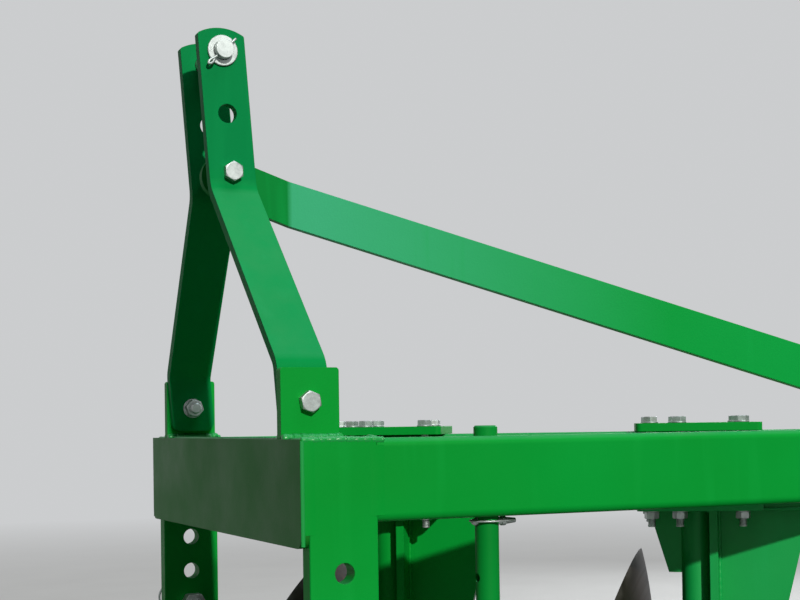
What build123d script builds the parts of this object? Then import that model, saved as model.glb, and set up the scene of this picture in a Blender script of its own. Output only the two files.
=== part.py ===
from build123d import *
import os
from math import atan2, cos, degrees, radians, sin, sqrt, tan

# Three-disc plough for a tractor's three-point hitch, parked on its stand, discs and rear wheel.
# Millimetres, +X forward, +Y left, +Z up, ground at Z = 0.
# Places are given as back (from the cross plate's face), right (from the left beam's outer face)
# and above (from the top of the beams).

# Frame
beam_top = 800.0
beam_height = 100.0
beam_width = 60.0
beam_wall = 7.0
beam_corner = 10.0
cut_past = 1.0
frame_width = 683.0
cross_plate_height = 128.0
cross_plate_thickness = 10.5
cross_plate_corner = 14.0
cross_tube_depth = 70.0

# Hitch legs and lower link pins
leg_width = 87.0
leg_thickness = 25.0
leg_length = 352.0
leg_corner = 30.0
leg_edge = 2.0
leg_hole = 25.0
leg_first_hole = 158.5
leg_hole_pitch = 54.0
leg_hole_count = 4
lower_pin_hole = 3
lower_pin_diameter = 28.0
lower_pin_reach = 100.0
lower_pin_collar = 44.0
lower_pin_collar_length = 14.0
lower_pin_shank = 24.0
lower_pin_nut = 36.0
lower_pin_nut_height = 20.0
lower_pin_thread_end = 8.0
lower_pin_chamfer = 3.0

# Mast
lug_right = 70.0
lug_front = 1.5
lug_width = 76.0
lug_height = 87.0
lug_thickness = 14.0
lug_corner = 4.0
lug_bolt_back = 38.0
lug_bolt_above = 45.0
mast_bolt_hole = 17.5
mast_bar_width = 65.0
mast_bar_thickness = 14.0
mast_gap = 73.0
mast_foot = 10.0
mast_lower_bend = 96.0
mast_upper_bend = 340.0
mast_lean = 38.0
mast_bend_radius = 30.0
mast_top_edge = 31.0
mast_top_shoulder = 22.0
mast_top_corner = 4.0
mast_foot_corner = 14.0
top_pin_above = 524.5
mast_top = top_pin_above + mast_top_edge
top_hole_above = 440.0
top_pin_diameter = 25.0
top_hole = 26.0
top_pin_stand_out = 15.0
top_pin_head = 40.0
top_pin_head_length = 8.0

# Brace from the mast down to the main beam
brace_bolt_above = 361.0
brace_width = 60.0
brace_thickness = 12.0
brace_bend_back = 112.0
brace_rear_back = 955.0
brace_rear_above = 45.0
brace_lug_length = 84.0
brace_lug_thickness = 14.0
brace_lug_corner = 20.0
spacer_diameter = 34.0

# Disc places on the main beam and the beam's ends
disc_count = 3
first_post_back = 316.0
first_post_inset = 215.5
first_post_right = frame_width - first_post_inset
post_pitch_back = 393.0
post_pitch_right = 250.0
main_beam_tail = 150.0
main_beam_cap = 8.0

# Clamp plates and the flanges of the disc standards
clamp_length = 180.0
clamp_width = 164.0
clamp_offset = 1.5
clamp_thickness = 12.0
flange_thickness = 16.0
clamp_corner = 8.0
clamp_bolt_hole = 13.5
clamp_row_gap = 110.0
clamp_bolt_places = (-67.0, -26.0, 64.0)

# Disc standards
disc_yaw = 38.5
disc_tilt = 19.5
post_diameter = 45.0
post_foot = 590.0
strip_width = 80.0
strip_thickness = 12.0
strip_bedding = 2.0
web_thickness = 12.0
web_top = 165.0
web_foot = 50.0
gusset_thickness = 12.0
gusset_top = 70.0
gusset_foot = 41.0
gusset_depth = 96.0
housing_diameter = 104.0
housing_length = 94.0
housing_lip = 118.0
housing_lip_length = 12.0
hub_bore = 50.2
hub_bore_depth = 62.0

# Discs and their hubs
disc_diameter = 660.0
disc_sphere = 600.0
disc_thickness = 6.0
disc_bevel = 14.0
disc_flat = 150.0
disc_reach = 195.0
hub_flange = 146.0
hub_flange_thickness = 14.0
hub_gap = 3.0
hub_shaft = 50.0
hub_shaft_end_gap = 2.0
hub_pilot = 62.0
hub_pilot_length = 16.0
hub_pilot_clearance = 0.3
hub_pilot_chamfer = 3.0

# Parking stand through the left beam
stand_back = 258.0
stand_diameter = 30.0
stand_clearance = 0.4
stand_stand_out = 13.0
stand_foot_diameter = 92.0
stand_foot_thickness = 8.0
stand_foot_edge = 2.0
stand_chamfer = 2.0
stand_hole = 11.0
stand_hole_pitch = 70.0
stand_hole_count = 7
stand_first_hole = 7.0

# Rear furrow wheel
sleeve_diameter = 82.0
sleeve_height = 150.0
sleeve_above = 22.0
sleeve_gap = 52.0
cheek_thickness = 12.0
cheek_height = 88.0
stem_diameter = 50.0
stem_clearance = 0.3
stem_above = 190.0
stem_knee = 390.0
stem_knee_radius = 90.0
axle_diameter = 40.0
axle_clearance = 0.1
axle_boss = 66.0
axle_boss_length = 56.0
axle_nut_across = 62.0
axle_nut_length = 18.0
axle_thread_end = 4.0
wheel_trail = 185.0
wheel_side = 78.0
wheel_lean = 12.0
wheel_radius = 250.0
wheel_rim_radius = 230.0
wheel_rim_width = 72.0
wheel_rim_thickness = 8.0
wheel_flange_thickness = 8.0
wheel_web_thickness = 8.0
wheel_hub = 92.0
wheel_hub_length = 88.0
wheel_hole = 62.0
wheel_hole_circle = 150.0
wheel_hole_count = 6
wheel_end_gap = 2.0

# Directions: along the main beam to the rear, across it to the right, and along the disc axle
beam_slope = atan2(post_pitch_right, post_pitch_back)
beam_along = Vector(-cos(beam_slope), sin(beam_slope), 0)
beam_across = Vector(-sin(beam_slope), -cos(beam_slope), 0)
yaw = radians(disc_yaw)
tilt = radians(disc_tilt)
axle_level = Vector(cos(yaw), -sin(yaw), 0)
axle_side = Vector(-sin(yaw), -cos(yaw), 0)
disc_axle = Vector(cos(yaw) * cos(tilt), -sin(yaw) * cos(tilt), sin(tilt))
lean = radians(wheel_lean)
wheel_axle = Vector(0, cos(lean), sin(lean))

# The origin is under the middle of the machine's reach
disc_radius = disc_diameter / 2
rim_reach_ahead = disc_radius * sqrt(1 - (cos(yaw) * cos(tilt)) ** 2)
rim_reach_aside = disc_radius * sqrt(1 - (sin(yaw) * cos(tilt)) ** 2)
tail_along = main_beam_tail + main_beam_cap + sleeve_gap
last_post_back = first_post_back + (disc_count - 1) * post_pitch_back
last_post_right = first_post_right - (disc_count - 1) * post_pitch_right
stem_back = last_post_back + tail_along * cos(beam_slope)
stem_right = last_post_right - tail_along * sin(beam_slope)
reach_front = rim_reach_ahead + disc_reach * cos(yaw) - first_post_back
reach_rear = stem_back + wheel_trail + wheel_radius
reach_left = sleeve_diameter / 2 - stem_right
reach_right = first_post_right + disc_reach * sin(yaw) + rim_reach_aside
front_x = (reach_rear - reach_front) / 2
land_y = (reach_right - reach_left) / 2


def place(back, right, above=0.0):
    """Point given by its distances back, right and above."""
    return Vector(front_x - back, land_y - right, beam_top + above)


def side_plane(right):
    """Upright plane along the travel, local X back, local Y up, normal to the left."""
    return Plane(origin=place(0, right), x_dir=(-1, 0, 0), z_dir=(0, 1, 0))


def front_plane(back):
    """Upright plane across the travel, local X right, local Y up, normal to the rear."""
    return Plane(origin=place(back, 0), x_dir=(0, -1, 0), z_dir=(-1, 0, 0))


def post_place(number, above=0.0):
    """Centre of a disc standard's post."""
    back = first_post_back + (number - 1) * post_pitch_back
    right = first_post_right - (number - 1) * post_pitch_right
    return place(back, right, above)


def save(builder, name):
    """Label a finished piece and write it."""
    builder.part.label = name
    export_step(builder.part, f"parts/{name}.step")


os.makedirs("parts", exist_ok=True)

# Cross plate, the flat front of the headstock
with BuildPart() as cross_plate:
    with BuildSketch(front_plane(0)) as outline:
        with Locations((frame_width / 2, -cross_plate_height / 2)):
            Rectangle(frame_width, cross_plate_height)
        fillet(outline.vertices().group_by(Axis.Y)[0], cross_plate_corner)
    extrude(amount=cross_plate_thickness)
save(cross_plate, "cross_plate")

# Cross tube behind the plate, between the legs
cross_tube_length = frame_width - 2 * leg_thickness
cross_tube_rear = cross_plate_thickness + cross_tube_depth
with BuildPart() as cross_tube:
    with BuildSketch(side_plane(frame_width - leg_thickness)):
        with Locations((cross_plate_thickness + cross_tube_depth / 2, -beam_height / 2)):
            RectangleRounded(cross_tube_depth, beam_height, beam_corner)
            RectangleRounded(
                cross_tube_depth - 2 * beam_wall,
                beam_height - 2 * beam_wall,
                beam_corner - beam_wall,
                mode=Mode.SUBTRACT,
            )
    extrude(amount=cross_tube_length)
save(cross_tube, "cross_tube")

# Hitch legs with their row of lower link holes
leg_front = cross_plate_thickness
leg_middle = leg_front + leg_width / 2
for name, inner_right in (("hitch_leg_left", leg_thickness), ("hitch_leg_right", frame_width)):
    with BuildPart() as hitch_leg:
        with BuildSketch(side_plane(inner_right)) as outline:
            with Locations((leg_middle, -leg_length / 2)):
                Rectangle(leg_width, leg_length)
            fillet(outline.vertices().group_by(Axis.Y)[0], leg_corner)
            for row in range(leg_hole_count):
                with Locations((leg_middle, -leg_first_hole - row * leg_hole_pitch)):
                    Circle(leg_hole / 2, mode=Mode.SUBTRACT)
        extrude(amount=leg_thickness)
        front_edges = hitch_leg.edges().filter_by(Axis.Z).sort_by(Axis.X)[-2:]
        fillet(front_edges, leg_edge)
    save(hitch_leg, name)

# Lower link pins: shank and nut through the leg, collar against it, pin outwards
pin_above = -leg_first_hole - (lower_pin_hole - 1) * leg_hole_pitch
for name, face_right, outward in (("lower_pin_left", 0, 1), ("lower_pin_right", frame_width, -1)):
    outer_face = Plane(
        origin=place(leg_middle, face_right, pin_above), x_dir=(1, 0, 0), z_dir=(0, outward, 0)
    )
    with BuildPart() as lower_pin:
        with BuildSketch(outer_face):
            Circle(lower_pin_collar / 2)
        extrude(amount=lower_pin_collar_length)
        with BuildSketch(outer_face.offset(lower_pin_collar_length)):
            Circle(lower_pin_diameter / 2)
        extrude(amount=lower_pin_reach)
        chamfer(lower_pin.edges().sort_by(Axis.Y)[-1 if outward > 0 else 0], lower_pin_chamfer)
        with BuildSketch(outer_face):
            Circle(lower_pin_shank / 2)
        extrude(amount=-leg_thickness - lower_pin_nut_height - lower_pin_thread_end)
        with BuildSketch(outer_face.offset(-leg_thickness)):
            RegularPolygon(lower_pin_nut / 2, 6, major_radius=False)
        extrude(amount=-lower_pin_nut_height)
    save(lower_pin, name)

# Left beam from the cross tube back to the main beam's side
main_side = Plane(origin=post_place(1) - beam_across * (beam_width / 2), z_dir=beam_across)
with BuildPart() as left_beam:
    with BuildSketch(front_plane(cross_tube_rear)):
        with Locations((beam_width / 2, -beam_height / 2)):
            RectangleRounded(beam_width, beam_height, beam_corner)
            RectangleRounded(
                beam_width - 2 * beam_wall,
                beam_height - 2 * beam_wall,
                beam_corner - beam_wall,
                mode=Mode.SUBTRACT,
            )
    extrude(amount=last_post_back)
    split(bisect_by=main_side, keep=Keep.BOTTOM)
    with BuildSketch(side_plane(leg_thickness)):
        with Locations(((cross_tube_rear + leg_front + leg_width) / 2, -beam_height / 2)):
            Rectangle(leg_front + leg_width - cross_tube_rear, beam_height)
    extrude(amount=leg_thickness, mode=Mode.SUBTRACT)
    stand_hole_top = place(stand_back, beam_width / 2, cut_past)
    with BuildSketch(Plane(origin=stand_hole_top, x_dir=(1, 0, 0), z_dir=(0, 0, -1))):
        Circle(stand_diameter / 2 + stand_clearance)
    extrude(amount=beam_height + 2 * cut_past, mode=Mode.SUBTRACT)
save(left_beam, "left_beam")

# Main beam, on the slant from the front right to the rear left
beam_start = -first_post_back / cos(beam_slope)
beam_end = (disc_count - 1) * post_pitch_back / cos(beam_slope) + main_beam_tail
beam_section = Plane(origin=post_place(1, -beam_height / 2), x_dir=beam_across, z_dir=beam_along)
cross_tube_back_face = Plane(origin=place(cross_tube_rear, 0), z_dir=(-1, 0, 0))
with BuildPart() as main_beam:
    with BuildSketch(beam_section.offset(beam_start)):
        RectangleRounded(beam_width, beam_height, beam_corner)
        RectangleRounded(
            beam_width - 2 * beam_wall,
            beam_height - 2 * beam_wall,
            beam_corner - beam_wall,
            mode=Mode.SUBTRACT,
        )
    extrude(amount=beam_end - beam_start)
    split(bisect_by=cross_tube_back_face, keep=Keep.TOP)
    with BuildSketch(beam_section.offset(beam_end)):
        RectangleRounded(beam_width, beam_height, beam_corner)
    extrude(amount=main_beam_cap)
save(main_beam, "main_beam")

# Mast lugs on the cross tube
mast_middle = Plane(origin=place(0, frame_width / 2), z_dir=(0, 1, 0))
with BuildPart() as mast_lug_left:
    with BuildSketch(side_plane(lug_right + lug_thickness)) as outline:
        with Locations((lug_front + lug_width / 2, lug_height / 2)):
            Rectangle(lug_width, lug_height)
        fillet(outline.vertices().group_by(Axis.Y)[-1], lug_corner)
        with Locations((lug_bolt_back, lug_bolt_above)):
            Circle(mast_bolt_hole / 2, mode=Mode.SUBTRACT)
    extrude(amount=lug_thickness)
save(mast_lug_left, "mast_lug_left")
with BuildPart() as mast_lug_right:
    mirror(mast_lug_left.part, about=mast_middle)
save(mast_lug_right, "mast_lug_right")

# Mast bars: flat against the lugs, bent inwards, then upright as the top link's clevis
bar_low = lug_right + lug_thickness
bar_high = frame_width / 2 - mast_gap / 2 - mast_bar_thickness
mast_lean_rate = mast_lean / (mast_top - lug_bolt_above)
mast_shoulder = top_pin_above + mast_top_shoulder


def mast_centre(above):
    """Middle of the mast bars, back from the cross plate, at a height."""
    return lug_bolt_back - mast_lean_rate * (above - lug_bolt_above)


with BuildPart() as mast_bar_left:
    with BuildSketch(front_plane(-2 * mast_bar_width)):
        with BuildLine():
            FilletPolyline(
                (bar_low, mast_foot),
                (bar_low, mast_lower_bend),
                (bar_high, mast_upper_bend),
                (bar_high, mast_top),
                radius=mast_bend_radius,
            )
            offset(amount=mast_bar_thickness, side=Side.RIGHT)
        make_face()
    extrude(amount=5 * mast_bar_width)
    with BuildSketch(side_plane(frame_width / 2)) as outline:
        with BuildLine():
            Polyline(
                (mast_centre(mast_shoulder) - mast_bar_width / 2, mast_shoulder),
                (mast_centre(mast_foot) - mast_bar_width / 2, mast_foot),
                (mast_centre(mast_foot) + mast_bar_width / 2, mast_foot),
                (mast_centre(mast_shoulder) + mast_bar_width / 2, mast_shoulder),
            )
            ThreePointArc(
                (mast_centre(mast_shoulder) + mast_bar_width / 2, mast_shoulder),
                (mast_centre(mast_top), mast_top),
                (mast_centre(mast_shoulder) - mast_bar_width / 2, mast_shoulder),
            )
        make_face()
        fillet(outline.vertices().group_by(Axis.Y)[-1], mast_top_corner)
        fillet(outline.vertices().group_by(Axis.Y)[0], mast_foot_corner)
        for above, size in (
            (lug_bolt_above, mast_bolt_hole),
            (brace_bolt_above, mast_bolt_hole),
            (top_hole_above, top_hole),
            (top_pin_above, top_hole),
        ):
            with Locations((mast_centre(above), above)):
                Circle(size / 2, mode=Mode.SUBTRACT)
    extrude(amount=frame_width / 2, mode=Mode.INTERSECT)
save(mast_bar_left, "mast_bar_left")
with BuildPart() as mast_bar_right:
    mirror(mast_bar_left.part, about=mast_middle)
save(mast_bar_right, "mast_bar_right")

# Top link pin with its head on the right
mast_outside = mast_gap + 2 * mast_bar_thickness
with BuildPart() as top_link_pin:
    with BuildSketch(side_plane((frame_width + mast_outside) / 2)):
        with Locations((mast_centre(top_pin_above), top_pin_above)):
            Circle(top_pin_diameter / 2)
    extrude(amount=mast_outside + top_pin_stand_out)
    with BuildSketch(side_plane((frame_width + mast_outside) / 2 + top_pin_head_length)):
        with Locations((mast_centre(top_pin_above), top_pin_above)):
            Circle(top_pin_head / 2)
    extrude(amount=top_pin_head_length)
save(top_link_pin, "top_link_pin")

# Brace: a flat bar on edge, bent once in plan just behind the mast
brace_front_back = mast_centre(brace_bolt_above)
brace_rear_right = first_post_right - (brace_rear_back - first_post_back) * tan(beam_slope)
brace_turn = atan2(frame_width / 2 - brace_rear_right, brace_rear_back - brace_bend_back)
brace_fall = atan2(brace_bolt_above - brace_rear_above, brace_rear_back - brace_front_back)
brace_past = brace_width
brace_bend_edge = brace_bend_back - brace_thickness / 2 * tan(brace_turn / 2)
brace_side = (frame_width - brace_thickness) / 2
brace_plan = Plane(origin=place(0, 0), x_dir=(-1, 0, 0), z_dir=(0, 0, 1))
brace_direction = Vector(-cos(brace_turn), sin(brace_turn), 0)
brace_aside = Vector(-sin(brace_turn), -cos(brace_turn), 0)
brace_rear_centre = place(brace_rear_back, brace_rear_right)
with BuildPart() as brace:
    with BuildSketch(brace_plan):
        with BuildLine():
            Polyline(
                (brace_front_back - brace_past, brace_side),
                (brace_bend_edge, brace_side),
                (
                    brace_rear_back + brace_past,
                    brace_side - (brace_rear_back + brace_past - brace_bend_edge) * tan(brace_turn),
                ),
            )
            offset(amount=brace_thickness, side=Side.LEFT)
        make_face()
    extrude(amount=mast_top)
    brace_slot = sqrt(
        (brace_rear_back - brace_front_back) ** 2 + (brace_bolt_above - brace_rear_above) ** 2
    )
    with BuildSketch(side_plane(frame_width)):
        with Locations(
            (
                (brace_front_back + brace_rear_back) / 2,
                (brace_bolt_above + brace_rear_above) / 2,
            )
        ):
            SlotCenterToCenter(brace_slot, brace_width, rotation=-degrees(brace_fall))
        with Locations((brace_front_back, brace_bolt_above)):
            Circle(mast_bolt_hole / 2, mode=Mode.SUBTRACT)
    extrude(amount=2 * frame_width, mode=Mode.INTERSECT)
    with BuildSketch(Plane(origin=brace_rear_centre, x_dir=brace_direction, z_dir=-brace_aside)):
        with Locations((0, brace_rear_above)):
            Circle(mast_bolt_hole / 2)
    extrude(amount=brace_thickness, both=True, mode=Mode.SUBTRACT)
save(brace, "brace")

# Spacers that centre the brace between the mast bars
spacer_length = (mast_gap - brace_thickness) / 2
with BuildPart() as brace_spacers:
    for right in (
        frame_width / 2 + mast_gap / 2,
        frame_width / 2 - brace_thickness / 2,
    ):
        with BuildSketch(side_plane(right)):
            with Locations((brace_front_back, brace_bolt_above)):
                Circle(spacer_diameter / 2)
                Circle(mast_bolt_hole / 2, mode=Mode.SUBTRACT)
        extrude(amount=spacer_length)
save(brace_spacers, "brace_spacers")

# Lug on the main beam that the brace's rear end is bolted to
brace_lug_origin = brace_rear_centre + brace_aside * (brace_thickness / 2 + brace_lug_thickness)
with BuildPart() as brace_lug:
    with BuildSketch(Plane(origin=brace_lug_origin, x_dir=brace_direction, z_dir=-brace_aside)) as outline:
        with Locations((0, (brace_rear_above + brace_width / 2) / 2)):
            Rectangle(brace_lug_length, brace_rear_above + brace_width / 2)
        fillet(outline.vertices().group_by(Axis.Y)[-1], brace_lug_corner)
        with Locations((0, brace_rear_above)):
            Circle(mast_bolt_hole / 2, mode=Mode.SUBTRACT)
    extrude(amount=brace_lug_thickness)
save(brace_lug, "brace_lug")

# Discs, their standards and clamp plates, one set for each place on the main beam
half_sphere = sqrt(disc_sphere**2 - disc_radius**2)
inner_sphere = disc_sphere - disc_thickness
flat_radius = disc_flat / 2
back_flat = half_sphere - sqrt(disc_sphere**2 - flat_radius**2)
face_flat = back_flat + disc_thickness
face_flat_radius = sqrt(inner_sphere**2 - (half_sphere - face_flat) ** 2)
bevel_radius = disc_radius - disc_bevel
bevel_place = half_sphere - sqrt(inner_sphere**2 - bevel_radius**2)
back_mid_radius = (disc_radius + flat_radius) / 2
back_mid_place = half_sphere - sqrt(disc_sphere**2 - back_mid_radius**2)
face_mid_radius = (bevel_radius + face_flat_radius) / 2
face_mid_place = half_sphere - sqrt(inner_sphere**2 - face_mid_radius**2)
disc_centre_above = disc_radius * cos(tilt) - beam_top
hub_face = back_flat - hub_flange_thickness
housing_front = hub_face - hub_gap
flange_foot = -beam_height - flange_thickness
clamp_rows = (-clamp_row_gap / 2, clamp_row_gap / 2)
clamp_spots = [(along, across) for along in clamp_bolt_places for across in clamp_rows]


def clamp_plane(number, above):
    """Level plane on a post's centre, local X along the main beam to the rear."""
    return Plane(origin=post_place(number, above), x_dir=beam_along, z_dir=(0, 0, 1))


for number in range(1, disc_count + 1):
    post_centre = post_place(number)
    disc_centre = post_place(number, disc_centre_above) + axle_level * disc_reach
    axial = Plane(origin=post_centre, x_dir=axle_level, z_dir=axle_side)

    with BuildPart() as clamp_plate:
        with BuildSketch(clamp_plane(number, 0)):
            with Locations((clamp_offset, 0)):
                RectangleRounded(clamp_length, clamp_width, clamp_corner)
            with Locations(*clamp_spots):
                Circle(clamp_bolt_hole / 2, mode=Mode.SUBTRACT)
        extrude(amount=clamp_thickness)
    save(clamp_plate, f"clamp_plate_{number}")

    with BuildPart() as standard:
        with BuildSketch(clamp_plane(number, flange_foot)):
            with Locations((clamp_offset, 0)):
                RectangleRounded(clamp_length, clamp_width, clamp_corner)
            with Locations(*clamp_spots):
                Circle(clamp_bolt_hole / 2, mode=Mode.SUBTRACT)
        extrude(amount=flange_thickness)
        level = Plane(origin=post_place(number, flange_foot), x_dir=axle_level, z_dir=(0, 0, -1))
        with BuildSketch(level):
            Circle(post_diameter / 2)
            with Locations((-(post_diameter + strip_thickness) / 2 + strip_bedding, 0)):
                Rectangle(strip_thickness, strip_width)
        extrude(amount=post_foot + flange_foot)
        with BuildSketch(axial):
            with BuildLine():
                Polyline(
                    (-post_diameter / 2, flange_foot),
                    (-web_top, flange_foot),
                    (-web_foot, -post_foot),
                    (-post_diameter / 2, -post_foot),
                    close=True,
                )
            make_face()
        extrude(amount=web_thickness / 2, both=True)
        with BuildSketch(axial):
            with BuildLine():
                Polyline(
                    (0, flange_foot),
                    (gusset_top, flange_foot),
                    (gusset_foot, flange_foot - gusset_depth),
                    (0, flange_foot - gusset_depth),
                    close=True,
                )
            make_face()
        extrude(amount=gusset_thickness / 2, both=True)
        front_of_housing = Plane(origin=disc_centre + disc_axle * housing_front, z_dir=-disc_axle)
        with BuildSketch(front_of_housing):
            Circle(housing_diameter / 2)
        extrude(amount=housing_length)
        with BuildSketch(front_of_housing):
            Circle(housing_lip / 2)
        extrude(amount=housing_lip_length)
        with BuildSketch(front_of_housing):
            Circle(hub_bore / 2)
        extrude(amount=hub_bore_depth, mode=Mode.SUBTRACT)
    save(standard, f"disc_standard_{number}")

    with BuildPart() as hub:
        with BuildSketch(Plane(origin=disc_centre + disc_axle * hub_face, z_dir=disc_axle)):
            Circle(hub_flange / 2)
        extrude(amount=hub_flange_thickness)
        with BuildSketch(Plane(origin=disc_centre + disc_axle * hub_face, z_dir=-disc_axle)):
            Circle(hub_shaft / 2)
        extrude(amount=hub_gap + hub_bore_depth - hub_shaft_end_gap)
        with BuildSketch(Plane(origin=disc_centre + disc_axle * back_flat, z_dir=disc_axle)):
            Circle(hub_pilot / 2)
        extrude(amount=hub_pilot_length)
        chamfer(hub.faces().sort_by(Axis(disc_centre, disc_axle))[-1].edges(), hub_pilot_chamfer)
    save(hub, f"disc_hub_{number}")

    with BuildPart() as blade:
        with BuildSketch(Plane(origin=disc_centre, x_dir=disc_axle, z_dir=axle_side)):
            with BuildLine():
                rim = (0, disc_radius)
                back_edge = (back_flat, flat_radius)
                hole_radius = hub_pilot / 2 + hub_pilot_clearance
                ThreePointArc(rim, (back_mid_place, back_mid_radius), back_edge)
                Polyline(
                    back_edge,
                    (back_flat, hole_radius),
                    (face_flat, hole_radius),
                    (face_flat, face_flat_radius),
                )
                ThreePointArc(
                    (face_flat, face_flat_radius),
                    (face_mid_place, face_mid_radius),
                    (bevel_place, bevel_radius),
                )
                Line((bevel_place, bevel_radius), rim)
            make_face()
        revolve(axis=Axis(disc_centre, disc_axle))
    save(blade, f"disc_blade_{number}")

# Parking stand: a round bar through the left beam with a row of pin holes and a foot
stand_length = beam_top + stand_stand_out - stand_foot_thickness
stand_x = place(stand_back, beam_width / 2)
with BuildPart() as stand_bar:
    with BuildSketch(Plane(origin=(stand_x.X, stand_x.Y, stand_foot_thickness))):
        Circle(stand_diameter / 2)
    extrude(amount=stand_length)
    chamfer(stand_bar.edges().sort_by(Axis.Z)[-1], stand_chamfer)
    with BuildSketch(Plane(origin=place(stand_back, beam_width / 2), x_dir=(0, 1, 0), z_dir=(1, 0, 0))):
        for step in range(stand_hole_count):
            with Locations((0, -beam_height - stand_first_hole - step * stand_hole_pitch)):
                Circle(stand_hole / 2)
    extrude(amount=stand_diameter, both=True, mode=Mode.SUBTRACT)
save(stand_bar, "stand_bar")
with BuildPart() as stand_foot:
    with BuildSketch(Plane(origin=(stand_x.X, stand_x.Y, 0))):
        Circle(stand_foot_diameter / 2)
    extrude(amount=stand_foot_thickness)
    fillet(stand_foot.edges().sort_by(Axis.Z)[-1], stand_foot_edge)
save(stand_foot, "stand_foot")

# Sleeve at the main beam's rear end that clamps the rear wheel's stem
sleeve_centre = place(stem_back, stem_right)
sleeve_foot = sleeve_centre + Vector(0, 0, sleeve_above - sleeve_height)
with BuildPart() as tail_sleeve:
    with BuildSketch(Plane(origin=sleeve_foot)):
        Circle(sleeve_diameter / 2)
    extrude(amount=sleeve_height)
    cheek_middle = sleeve_centre + Vector(0, 0, -beam_height / 2)
    with BuildSketch(Plane(origin=cheek_middle, x_dir=beam_along, z_dir=(0, 0, 1))):
        for side in (-1, 1):
            with Locations((-sleeve_gap / 2, side * (beam_width - cheek_thickness) / 2)):
                Rectangle(sleeve_gap, cheek_thickness)
    extrude(amount=cheek_height / 2, both=True)
    with BuildSketch(Plane(origin=sleeve_foot)):
        Circle(stem_diameter / 2 + stem_clearance)
    extrude(amount=sleeve_height, mode=Mode.SUBTRACT)
save(tail_sleeve, "tail_sleeve")

# Rear wheel's stem: upright bar, knee to the rear, axle out to the right
wheel_centre_z = wheel_radius * cos(lean) + wheel_flange_thickness / 2 * sin(lean)
axle_end_above = wheel_centre_z + wheel_side * tan(lean) - beam_top
axle_root = place(stem_back + wheel_trail, stem_right, axle_end_above)
wheel_centre = axle_root - wheel_axle * (wheel_side / cos(lean))
axle_inside = wheel_side / cos(lean) + wheel_hub_length / 2 + wheel_end_gap
axle_length = axle_inside + axle_nut_length + axle_thread_end
with BuildPart() as tail_stem:
    with BuildLine() as route:
        FilletPolyline(
            place(stem_back, stem_right, stem_above),
            place(stem_back, stem_right, -stem_knee),
            axle_root,
            radius=stem_knee_radius,
        )
    with BuildSketch(Plane(origin=place(stem_back, stem_right, stem_above), z_dir=(0, 0, -1))):
        Circle(stem_diameter / 2)
    sweep(path=route.wires()[0])
    with BuildSketch(Plane(origin=axle_root + wheel_axle * (axle_boss_length / 2), z_dir=-wheel_axle)):
        Circle(axle_boss / 2)
    extrude(amount=axle_boss_length)
    with BuildSketch(Plane(origin=axle_root, z_dir=-wheel_axle)):
        Circle(axle_diameter / 2)
    extrude(amount=axle_length)
save(tail_stem, "tail_stem")

# Nut that keeps the wheel on its axle
nut_place = wheel_centre - wheel_axle * (wheel_hub_length / 2 + wheel_end_gap)
with BuildPart() as axle_nut_piece:
    with BuildSketch(Plane(origin=nut_place, z_dir=-wheel_axle)):
        RegularPolygon(axle_nut_across / 2, 6, major_radius=False)
        Circle(axle_diameter / 2, mode=Mode.SUBTRACT)
    extrude(amount=axle_nut_length)
save(axle_nut_piece, "tail_axle_nut")

# Rear furrow wheel: flat rim with a cutting flange, pierced web and long hub
web_root = (wheel_hub - wheel_rim_thickness) / 2
rim_middle = wheel_rim_radius - wheel_rim_thickness / 2
with BuildPart() as tail_wheel:
    with BuildSketch(Plane(origin=wheel_centre, x_dir=wheel_axle, z_dir=(1, 0, 0))):
        with Locations((0, (wheel_hub / 2 + axle_diameter / 2 + axle_clearance) / 2)):
            Rectangle(wheel_hub_length, wheel_hub / 2 - axle_diameter / 2 - axle_clearance)
        with Locations((0, (web_root + rim_middle) / 2)):
            Rectangle(wheel_web_thickness, rim_middle - web_root)
        with Locations((0, rim_middle)):
            Rectangle(wheel_rim_width, wheel_rim_thickness)
        with Locations((0, (rim_middle + wheel_radius) / 2)):
            Rectangle(wheel_flange_thickness, wheel_radius - rim_middle)
    revolve(axis=Axis(wheel_centre, wheel_axle))
    with BuildSketch(Plane(origin=wheel_centre, x_dir=(1, 0, 0), z_dir=wheel_axle)):
        with PolarLocations(wheel_hole_circle, wheel_hole_count):
            Circle(wheel_hole / 2)
    extrude(amount=wheel_web_thickness, both=True, mode=Mode.SUBTRACT)
save(tail_wheel, "tail_wheel")
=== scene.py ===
import bpy
from math import atan2, cos, pi, radians, sin, sqrt
from mathutils import Matrix, Vector


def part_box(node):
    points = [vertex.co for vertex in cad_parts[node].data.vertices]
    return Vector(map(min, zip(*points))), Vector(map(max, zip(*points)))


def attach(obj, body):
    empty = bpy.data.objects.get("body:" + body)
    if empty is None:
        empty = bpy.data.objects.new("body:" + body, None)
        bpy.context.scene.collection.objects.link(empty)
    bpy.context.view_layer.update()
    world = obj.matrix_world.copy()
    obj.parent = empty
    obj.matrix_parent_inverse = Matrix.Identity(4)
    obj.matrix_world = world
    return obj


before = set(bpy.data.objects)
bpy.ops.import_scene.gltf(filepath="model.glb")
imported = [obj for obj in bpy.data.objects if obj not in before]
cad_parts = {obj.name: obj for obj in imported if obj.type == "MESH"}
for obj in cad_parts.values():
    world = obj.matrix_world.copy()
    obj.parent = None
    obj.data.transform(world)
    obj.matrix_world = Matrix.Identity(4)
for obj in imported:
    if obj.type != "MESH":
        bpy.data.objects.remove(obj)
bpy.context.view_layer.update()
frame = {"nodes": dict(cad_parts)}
nodes = frame["nodes"]
mm = 0.001

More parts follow.
